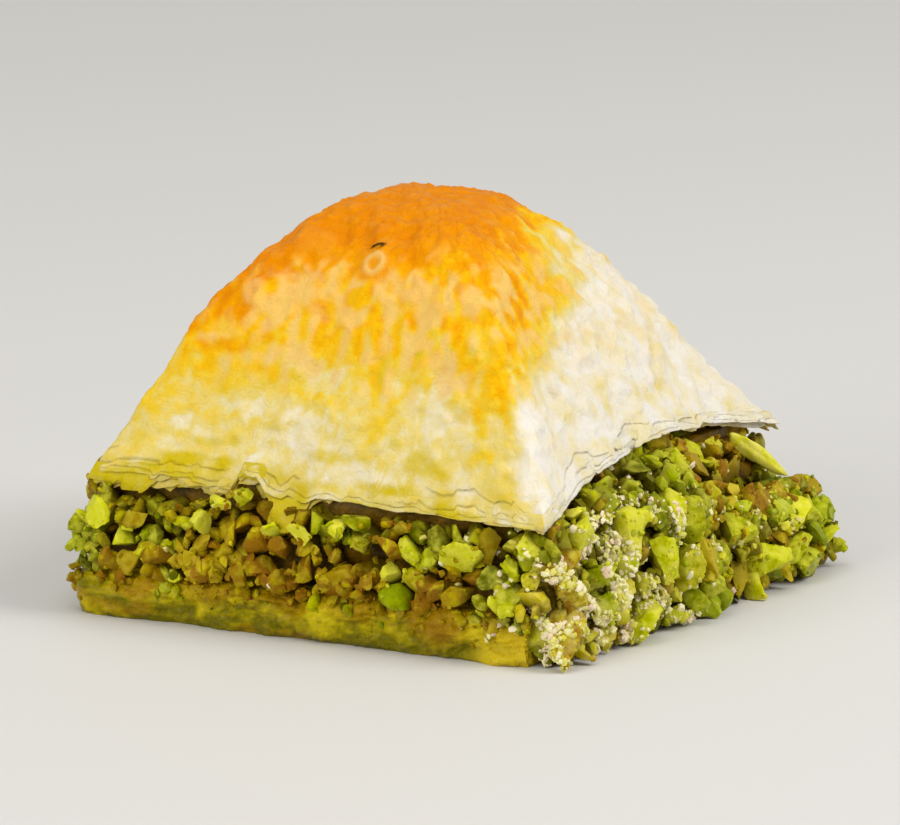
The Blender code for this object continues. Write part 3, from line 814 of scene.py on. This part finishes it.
def shade_between_nuts(points):
    """How far each point lies down between the nuts, 0 to 1, which the nut material turns into painted
    shade.
    """
    x, y, z = (points[..., k] for k in range(3))
    foot, _, _, slope = spill_slope()
    depth = np.minimum(np.minimum(24.9 - np.abs(y), 24.9 + x), 1.5 - (points - foot) @ slope)
    under_heap = np.minimum(depth, heap_height(x, y) - z + 0.3)
    depth = np.where(x > BASE_SPILL_HALF - 3, under_heap, depth)
    return smooth_step(*NUT_DEPTHS, depth)


def make_chunks(name, draw, places, outwards, sizes, level, cuts, material, attributes):
    """Irregular pieces with flat cut faces, joined to one mesh, and each piece's points.

    Level is how fine they are, cuts the range of their cuts, and attributes has a value for each piece.
    """
    ball, ball_faces = chunk_shape(level)
    points, faces, cut_marks = [], [], []
    for k, (place, outward, size) in enumerate(zip(places, outwards, sizes)):
        shape = ball * (1 + 0.1 * draw.normal(size=(len(ball), 1)) * (level < 3))
        cut = np.zeros(len(ball))
        for _ in range(draw.randint(*cuts)):
            normal = draw.normal(size=3)
            normal = normal / np.linalg.norm(normal)
            over = shape @ normal - draw.uniform(*NUT_CUTS)
            shape = shape - np.outer(np.maximum(over, 0), normal)
            cut = np.maximum(cut, over > -0.02)
        bumps = sum(rise * noise_at(shape * across + k * 1.37) for across, rise in NUT_ROUGHNESS[:level])
        shape = shape * (1 + bumps[:, None])
        shape = (shape * NUT_FORM * size / 2) @ turn(draw).T
        faces.append(ball_faces + k * len(ball))
        points.append(settle(shape, place, outward, draw.uniform(*HEAP_SLACK)))
        cut_marks.append(cut)
    marks = {key: np.repeat(values, len(ball)) for key, values in attributes.items()}
    marks["cut"] = np.concatenate(cut_marks)
    joined = np.concatenate(points)
    marks["dust"] = meal_nearness(joined)
    # painted shade: points far down between the nuts are darkened
    marks["gap_shade"] = shade_between_nuts(joined)
    piece = mesh_piece(name, joined, np.concatenate(faces), material, marks)
    piece.data.set_sharp_from_angle(angle=NUT_CREASE)
    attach(piece, "root")
    return np.array(points)


def nut_looks(draw, places):
    """How light each piece is, and how brown its skin, much as its neighbours are."""
    own = draw.uniform(-0.5, 0.5, (2, len(places)))
    shaded = places[:, 0] < BASE_SPILL_HALF
    varied = 0.8 * noise_at(places / 4.2) + 0.85 * own[0]
    tone = 0.5 + (1 - 0.25 * shaded) * varied - 0.06 * shaded
    tone = tone - 0.25 * smooth_step(4, 16, places[:, 1]) * (1 - shaded)
    low = shaded * (1 - smooth_step(BASE_TOP + 1, BASE_TOP + 4.5, places[:, 2]))
    skin = 0.5 + 0.85 * noise_at(places / 4.8 + 40) + 0.4 * own[1] + 0.06 * shaded + 0.08 * low
    skin = np.maximum(skin, browned(places) + 0.2 * own[1])
    tone = tone - 0.3 * shaded * (1 - smooth_step(BASE_TOP - 1.5, BASE_TOP + 0.5, places[:, 2]))
    return {"tone": np.clip(tone, 0, 1), "skin": np.clip(skin, 0, 1)}


def make_core(material):
    """The dark bed that shows between the nuts as painted shade in the gaps, on the lines of the
    filling's solid.
    """
    builder = bmesh.new()
    half = FILLING_HALF - CORE_INSET
    spans = (
        ((-half, -half, BASE_TOP + 0.02), (half, half, FILLING_TOP + 1.2), 0),
        ((half - 0.3, -half + 0.6, 0.05), (SPILL_FRONT_REACH - 1.6, half - 0.6, FILLING_TOP), 1),
    )
    for low, high, sloped in spans:
        low, high = np.array(low), np.array(high)
        made = bmesh.ops.create_cube(builder, size=1.0)["verts"]
        for vert in made:
            vert.co = Vector((low + high) / 2) + Vector(np.array(vert.co) * (high - low))
            if sloped and vert.co.x > half and vert.co.z < BASE_TOP:
                vert.co.x = (SPILL_BACK_REACH if vert.co.y > 0 else SPILL_FRONT_REACH) - 1.8
            if sloped and vert.co.x > half and vert.co.z > BASE_TOP:
                vert.co.x = half + 0.2
    bmesh.ops.subdivide_edges(builder, edges=builder.edges[:], cuts=CORE_CUTS, use_grid_fill=True)
    size, height = CORE_LUMPS
    for vert in builder.verts:
        lump = noise.noise(vert.co / size) * height
        vert.co += Vector((vert.co.x, vert.co.y, 0)).normalized() * lump
    points = np.array([vert.co for vert in builder.verts])
    faces = np.array([[vert.index for vert in face.verts] for face in builder.faces])
    builder.free()
    core = mesh_piece("nut_core", points, faces, material)
    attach(core, "root")
    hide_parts("pistachio_filling")


def outer_points(points, outwards):
    """Those points of the pieces that face out, and the outward direction at each."""
    middles = points.mean(1, keepdims=True)
    facing = np.einsum("kpc,kc->kp", points - middles, outwards)
    ways = np.broadcast_to(outwards[:, None], points.shape)
    return points[facing > 0.15], ways[facing > 0.15]


def stuck_places(draw, count):
    """Places on the sides of the base, mostly near its top, and the outward direction at each."""
    side = draw.choice((1, 2, 3), count, p=(0.3, 0.3, 0.4))
    along = draw.uniform(-1, 1, count) * BASE_HALF
    outward = level_way(side * math.pi / 2)
    across = outward[:, (1, 0, 2)] * (-1, 1, 0)
    places = outward * (BASE_HALF - 0.2) + across * along[:, None]
    places[:, 2] = BASE_TOP * (1 - draw.beta(1, 3.4, count)) - 0.1
    places[:, 0] = np.minimum(places[:, 0], BASE_SPILL_HALF)
    return places, outward


def make_nuts(material, meal_material):
    """Chopped pistachios of many sizes, and pale meal round the front corner of the spill."""
    draw = np.random.RandomState(NUT_SEED)
    sizes = np.sort(mix(*CHOPPED_SIZE, draw.beta(1.2, 2.6, CHOPPED_COUNT)))[::-1]
    places, outwards = spaced_places(draw, sizes)
    looks = nut_looks(draw, places)
    standing = np.array(STANDING_NUTS)
    on_slope = (standing[:, 0] > BASE_HALF)[:, None]
    ways = np.where(on_slope, spill_slope()[3], (0.0, -1.0, 0.0))
    places = np.concatenate((standing[:, :3] + 0.7 * ways * on_slope, places))
    outwards = np.concatenate((ways, outwards))
    sizes = np.concatenate((standing[:, 3], sizes))
    looks["tone"] = np.concatenate((standing[:, 4], looks["tone"]))
    looks["skin"] = np.concatenate((np.full(len(standing), STANDING_SKIN), looks["skin"]))
    surface = []
    for name, part, level in (
        ("large_pistachios", slice(0, ROUGH_COUNT), 4),
        ("chopped_pistachios", slice(ROUGH_COUNT, None), 3),
    ):
        own = {key: values[part] for key, values in looks.items()}
        beds = places[part], outwards[part], sizes[part]
        made = make_chunks(name, draw, *beds, level, (7, 12), material, own)
        surface.append(outer_points(made, outwards[part]))
    places, outwards = bed_places(draw, BIT_COUNT)
    places = places + outwards * draw.uniform(*BIT_RISE, (BIT_COUNT, 1))
    stuck = int(BIT_COUNT * STUCK_SHARE)
    places[:stuck], outwards[:stuck] = stuck_places(draw, stuck)
    places, outwards = out_of_holes(places, outwards)
    sizes = mix(*BIT_SIZE, draw.uniform(0, 1, len(places)) ** 1.5)
    looks = nut_looks(draw, places)
    made = make_chunks("pistachio_bits", draw, places, outwards, sizes, 2, (3, 7), material, looks)
    surface.append(outer_points(made, outwards))
    surface, ways = (np.concatenate([part[k] for part in surface]) for k in range(2))
    surface, ways = out_of_holes(surface, ways)
    chosen = draw.choice(len(surface), CRUMB_COUNT)
    places, outwards = surface[chosen], ways[chosen]
    stuck = int(CRUMB_COUNT * STUCK_SHARE)
    places[:stuck], outwards[:stuck] = stuck_places(draw, stuck)
    sizes = mix(*CRUMB_SIZE, draw.uniform(0, 1, CRUMB_COUNT) ** 2)
    looks = nut_looks(draw, places)
    make_chunks("pistachio_crumbs", draw, places, outwards, sizes, 1, (1, 3), material, looks)
    clumps = smooth_step(-0.1, 0.3, noise_at(surface / MEAL_CLUMP))
    nearness = meal_nearness(surface) * clumps + MEAL_STRAY
    chosen = draw.choice(len(surface), MEAL_COUNT, p=nearness / nearness.sum())
    sizes = mix(*MEAL_SIZE, draw.uniform(0, 1, MEAL_COUNT) ** 1.4)
    looks = nut_looks(draw, surface[chosen] * 3)
    make_chunks("nut_meal", draw, surface[chosen], ways[chosen], sizes, 1, (1, 3), meal_material, looks)


def make_sliver(material):
    """The long cut of nut that leans on the far end of the spill."""
    ball, faces = chunk_shape(4)
    shape = ball * (1 + 0.2 * noise_at(ball * 1.7)[:, None]) * SLIVER_SIZE / 2
    shape[:, 1] *= 1 - 0.1 * shape[:, 0]
    top, foot = (np.array(end) for end in SLIVER_ENDS)
    along = (foot - top) / np.linalg.norm(foot - top)
    thick = np.array(direction(VIEW_AZIMUTH, 0))
    across = np.cross(thick, along)
    across = across / np.linalg.norm(across)
    turned = shape @ np.array((along, across, np.cross(along, across)))
    looks = {"tone": 1.0, "skin": STANDING_SKIN, "cut": 1.0, "dust": 1.0, "gap_shade": 0.0}
    looks = {key: np.full(len(ball), value) for key, value in looks.items()}
    sliver = mesh_piece("pistachio_sliver", turned + (top + foot) / 2, faces, material, looks)
    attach(sliver, "root")


# Materials

def new_material(name, shine, tint, coat, scatter, scatter_size, scatter_colour):
    """A material with these plain values, its node tree and its shader."""
    material = bpy.data.materials.new(name)
    material.use_nodes = True
    tree = material.node_tree
    shader = tree.nodes["Principled BSDF"]
    shader.inputs["Specular IOR Level"].default_value = shine
    shader.inputs["Specular Tint"].default_value = (*tint, 1)
    shader.inputs["Coat Weight"].default_value = coat
    shader.inputs["Coat Roughness"].default_value = 0.2
    shader.inputs["Subsurface Weight"].default_value = scatter
    shader.inputs["Subsurface Scale"].default_value = scatter_size * MM
    shader.inputs["Subsurface Radius"].default_value = scatter_colour
    return material, tree, shader


def add(tree, kind, **values):
    """A node with these settings, and with its inputs set or linked by name or number."""
    node = tree.nodes.new(kind)
    inputs = values.pop("inputs", {})
    for key, value in values.items():
        setattr(node, key, value)
    for key, value in inputs.items():
        if isinstance(value, bpy.types.NodeSocket):
            tree.links.new(value, node.inputs[key])
        else:
            node.inputs[key].default_value = value
    return node


def attribute(tree, name):
    """The value that a mesh carries under this name."""
    return add(tree, "ShaderNodeAttribute", attribute_name=name).outputs["Fac"]


def calculate(tree, operation, first, second, clamp=False):
    """A sum, product or the like of two values."""
    inputs = {0: first, 1: second}
    return add(tree, "ShaderNodeMath", operation=operation, use_clamp=clamp, inputs=inputs).outputs[0]


def times(tree, first, second):
    """The product of two values."""
    return calculate(tree, "MULTIPLY", first, second)


def spots(tree, size, detail=3.0):
    """Noise from 0 to 1 with features of about this size in millimetres."""
    place = add(tree, "ShaderNodeTexCoord").outputs["Object"]
    inputs = {"Vector": place, "Scale": 1 / (size * MM), "Detail": detail, "Roughness": 0.55}
    return add(tree, "ShaderNodeTexNoise", inputs=inputs).outputs[0]


def stretched(tree, value, low, high, to_low=0.0, to_high=1.0):
    """A value moved from one range to another, and kept in it."""
    inputs = {"Value": value, "From Min": low, "From Max": high, "To Min": to_low, "To Max": to_high}
    return add(tree, "ShaderNodeMapRange", inputs=inputs).outputs[0]


def ramp(tree, value, stops):
    """Colours along a value, as (place, red, green, blue) on the scale of srgb."""
    node = add(tree, "ShaderNodeValToRGB", inputs={0: value})
    marks = node.color_ramp.elements
    while len(marks) < len(stops):
        marks.new(0.5)
    for mark, (place, *colour) in zip(marks, stops):
        mark.position = place
        mark.color = (*srgb(*colour), 1)
    return node.outputs[0]


def tinted(tree, colour, share, tint):
    """A colour turned by a share towards a tint, which is on the scale of srgb."""
    node = add(tree, "ShaderNodeMix", data_type="RGBA")
    sockets = {socket.identifier: socket for socket in (*node.inputs, *node.outputs)}
    tree.links.new(share, sockets["Factor_Float"])
    tree.links.new(colour, sockets["A_Color"])
    sockets["B_Color"].default_value = (*srgb(*tint), 1)
    return sockets["Result_Color"]


def bump(tree, shader, height, distance):
    """Fine relief, whose height of 1 stands for this distance in millimetres."""
    inputs = {"Height": height, "Distance": distance * MM}
    tree.links.new(add(tree, "ShaderNodeBump", inputs=inputs).outputs[0], shader.inputs["Normal"])


def filo_material():
    """Baked filo: pale cream where it is least baked, through gold, to orange-brown. The pale cream of
    the +X side is partly painted light.
    """
    material, tree, shader = new_material(
        "filo_golden_skin", 0.13, (1.0, 0.75, 0.05), 0.0, 0.15, 1.2, (1.0, 0.6, 0.2)
    )
    fine = spots(tree, 1.1, 4.0)
    grain = spots(tree, 0.3, 2.0)
    uneven = stretched(tree, attribute(tree, "bake"), 0.03, 0.3, 0.17, 0.42)
    wander = times(tree, calculate(tree, "SUBTRACT", fine, 0.5), uneven)
    baked = calculate(tree, "ADD", attribute(tree, "bake"), wander, clamp=True)
    colour = ramp(tree, baked, (
        (0.0, 230, 225, 216),
        (0.18, 224, 205, 128),
        (0.34, 230, 195, 56),
        (0.52, 236, 182, 12),
        (0.74, 231, 152, 0),
        (1.0, 219, 129, 0),
    ))
    wet = times(tree, attribute(tree, "soak"), stretched(tree, fine, 0.25, 0.7, 0.75, 1.0))
    colour = tinted(tree, colour, wet, (200, 177, 3))
    colour = tinted(tree, colour, times(tree, attribute(tree, "pale"), 0.8), (231, 190, 110))
    colour = tinted(tree, colour, times(tree, stretched(tree, grain, 0.66, 0.78), 0.16), (214, 150, 20))
    colour = tinted(tree, colour, attribute(tree, "burnt"), (60, 40, 8))
    tree.links.new(colour, shader.inputs["Base Color"])
    tree.links.new(stretched(tree, fine, 0.3, 0.7, 0.3, 0.5), shader.inputs["Roughness"])
    bump(tree, shader, calculate(tree, "ADD", fine, times(tree, grain, 0.5)), 0.22)
    return material


def pistachio_material():
    """Chopped pistachio: green to yellow flesh, paler where it is cut, which also serves as a painted
    highlight, some of it soaked brown, with painted shade between the pieces.
    """
    material, tree, shader = new_material(
        "pistachio_flesh", 0.25, (1.0, 1.0, 0.05), 0.0, 0.1, 0.6, (0.8, 0.8, 0.1)
    )
    fine = spots(tree, 0.9, 4.0)
    skin = attribute(tree, "skin")
    wander = calculate(tree, "SUBTRACT", fine, 0.5)
    colour = ramp(tree, calculate(tree, "ADD", attribute(tree, "tone"), wander, clamp=True), (
        (0.0, 90, 92, 1),
        (0.3, 154, 158, 1),
        (0.65, 203, 204, 4),
        (1.0, 221, 213, 60),
    ))
    # cut faces are paler flesh, and their pale tint is also a painted highlight
    cut = times(tree, attribute(tree, "cut"), stretched(tree, fine, 0.35, 0.6))
    colour = tinted(tree, colour, times(tree, cut, 0.4), (227, 221, 90))
    colour = tinted(tree, colour, times(tree, stretched(tree, skin, 0.46, 0.22), 0.5), (134, 156, 1))
    colour = tinted(tree, colour, times(tree, stretched(tree, skin, 0.58, 0.74), 0.6), (176, 138, 4))
    brown = times(tree, stretched(tree, skin, 0.74, 0.88), stretched(tree, spots(tree, 1.6), 0.4, 0.54))
    colour = tinted(tree, colour, times(tree, brown, 0.85), (134, 84, 14))
    dusty = times(tree, attribute(tree, "dust"), stretched(tree, spots(tree, 0.9), 0.42, 0.58))
    colour = tinted(tree, colour, times(tree, dusty, 0.4), (226, 216, 120))
    # painted shade: nuts darken where they lie far down between others
    colour = tinted(tree, colour, times(tree, attribute(tree, "gap_shade"), 0.8), (80, 61, 2))
    tree.links.new(colour, shader.inputs["Base Color"])
    tree.links.new(stretched(tree, fine, 0.3, 0.7, 0.26, 0.5), shader.inputs["Roughness"])
    bump(tree, shader, spots(tree, 0.35), 0.1)
    return material


def meal_material():
    """Pale ground nuts."""
    material, tree, shader = new_material(
        "nut_meal_pale", 0.3, (1.0, 0.95, 0.7), 0.05, 0.1, 0.5, (0.9, 0.7, 0.4)
    )
    colour = ramp(tree, attribute(tree, "tone"), (
        (0.0, 208, 200, 70),
        (0.35, 228, 220, 140),
        (0.75, 238, 230, 190),
        (1.0, 232, 206, 178),
    ))
    tree.links.new(colour, shader.inputs["Base Color"])
    shader.inputs["Roughness"].default_value = 0.5
    return material


def core_shade_material():
    """The dark wet mass between the nuts, whose dark colour is painted shade for the gaps."""
    material, tree, shader = new_material(
        "nut_core_shade", 0.3, (1.0, 0.8, 0.3), 0.1, 0.0, 0.5, (0.5, 0.5, 0.2)
    )
    # painted shade: the core's dark colours stand for the shade deep between the nuts
    colour = ramp(tree, spots(tree, 1.5, 4.0), ((0.3, 62, 42, 1), (0.5, 100, 72, 2), (0.7, 134, 94, 4)))
    tree.links.new(colour, shader.inputs["Base Color"])
    shader.inputs["Roughness"].default_value = 0.4
    bump(tree, shader, spots(tree, 0.6, 4.0), 0.3)
    return material


def soaked_material():
    """Filo leaves soaked in syrup: olive-amber, moist, yellow at the corner by the spill."""
    material, tree, shader = new_material(
        "filo_soaked_stack", 0.28, (1.0, 0.8, 0.1), 0.08, 0.15, 0.8, (1.0, 0.75, 0.05)
    )
    fine = calculate(tree, "SUBTRACT", spots(tree, 0.9, 4.0), 0.5)
    tone = calculate(tree, "ADD", attribute(tree, "tone"), times(tree, fine, 0.7), clamp=True)
    colour = ramp(tree, tone, (
        (0.05, 110, 103, 1),
        (0.35, 150, 137, 1),
        (0.65, 186, 169, 4),
        (0.95, 214, 196, 24),
    ))
    colour = tinted(tree, colour, times(tree, attribute(tree, "brown"), 0.8), (154, 102, 4))
    colour = tinted(tree, colour, times(tree, attribute(tree, "yellow"), 0.8), (222, 194, 34))
    tree.links.new(colour, shader.inputs["Base Color"])
    tree.links.new(stretched(tree, fine, -0.2, 0.2, 0.22, 0.42), shader.inputs["Roughness"])
    bump(tree, shader, spots(tree, 0.5, 5.0), 0.3)
    return material


# The setting

def make_floor():
    """A plain pale floor."""
    corners = np.array([(-1, -1, 0), (1, -1, 0), (1, 1, 0), (-1, 1, 0)]) * FLOOR_HALF
    material = bpy.data.materials.new("floor_pale")
    material.use_nodes = True
    shader = material.node_tree.nodes["Principled BSDF"]
    shader.inputs["Base Color"].default_value = (*srgb(216, 215, 212), 1)
    shader.inputs["Roughness"].default_value = 0.6
    floor = mesh_piece("floor", corners, np.array([[0, 1, 2, 3]]), material)


def direction(azimuth, elevation):
    """The way from the piece to something at this azimuth and elevation, in degrees."""
    a, e = math.radians(azimuth), math.radians(elevation)
    return Vector((math.sin(a) * math.cos(e), -math.cos(a) * math.cos(e), math.sin(e)))


def aim(thing, place, target):
    """Puts a camera or light at a place and points it at a target."""
    thing.location = place
    thing.rotation_mode = "QUATERNION"
    thing.rotation_quaternion = (Vector(target) - place).to_track_quat("-Z", "Y")
    bpy.context.scene.collection.objects.link(thing)


def make_camera():
    """The camera, at the photograph's viewing angle."""
    data = bpy.data.cameras.new("camera")
    data.lens = LENS
    data.clip_start = 0.01
    camera = bpy.data.objects.new("camera", data)
    aim(camera, direction(VIEW_AZIMUTH, VIEW_ELEVATION) * VIEW_DISTANCE, VIEW_TARGET)
    bpy.context.scene.camera = camera


def make_lights():
    """Soft studio light, with a pale surround."""
    for name, azimuth, elevation, distance, size, power, colour in LIGHTS:
        data = bpy.data.lights.new(name, "AREA")
        data.size = size
        data.energy = power
        data.color = colour
        aim(bpy.data.objects.new(name, data), direction(azimuth, elevation) * distance, VIEW_TARGET)
    world = bpy.data.worlds.new("surround")
    world.use_nodes = True
    background = world.node_tree.nodes["Background"].inputs
    background["Color"].default_value, background["Strength"].default_value = SURROUND
    bpy.context.scene.world = world
    bpy.context.scene.view_settings.view_transform = "Standard"


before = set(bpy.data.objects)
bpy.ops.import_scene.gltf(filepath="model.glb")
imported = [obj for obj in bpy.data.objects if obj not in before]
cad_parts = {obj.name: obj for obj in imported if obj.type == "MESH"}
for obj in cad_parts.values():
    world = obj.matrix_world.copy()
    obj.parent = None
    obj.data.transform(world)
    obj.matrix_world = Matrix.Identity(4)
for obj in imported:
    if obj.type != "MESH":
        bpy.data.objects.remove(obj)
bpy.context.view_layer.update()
make_camera()
make_floor()
make_lights()
filo = filo_material()
make_crust(filo)
make_edge_leaves(filo)
make_base(soaked_material())
make_core(core_shade_material())
pistachio = pistachio_material()
make_nuts(pistachio, meal_material())
make_sliver(pistachio)
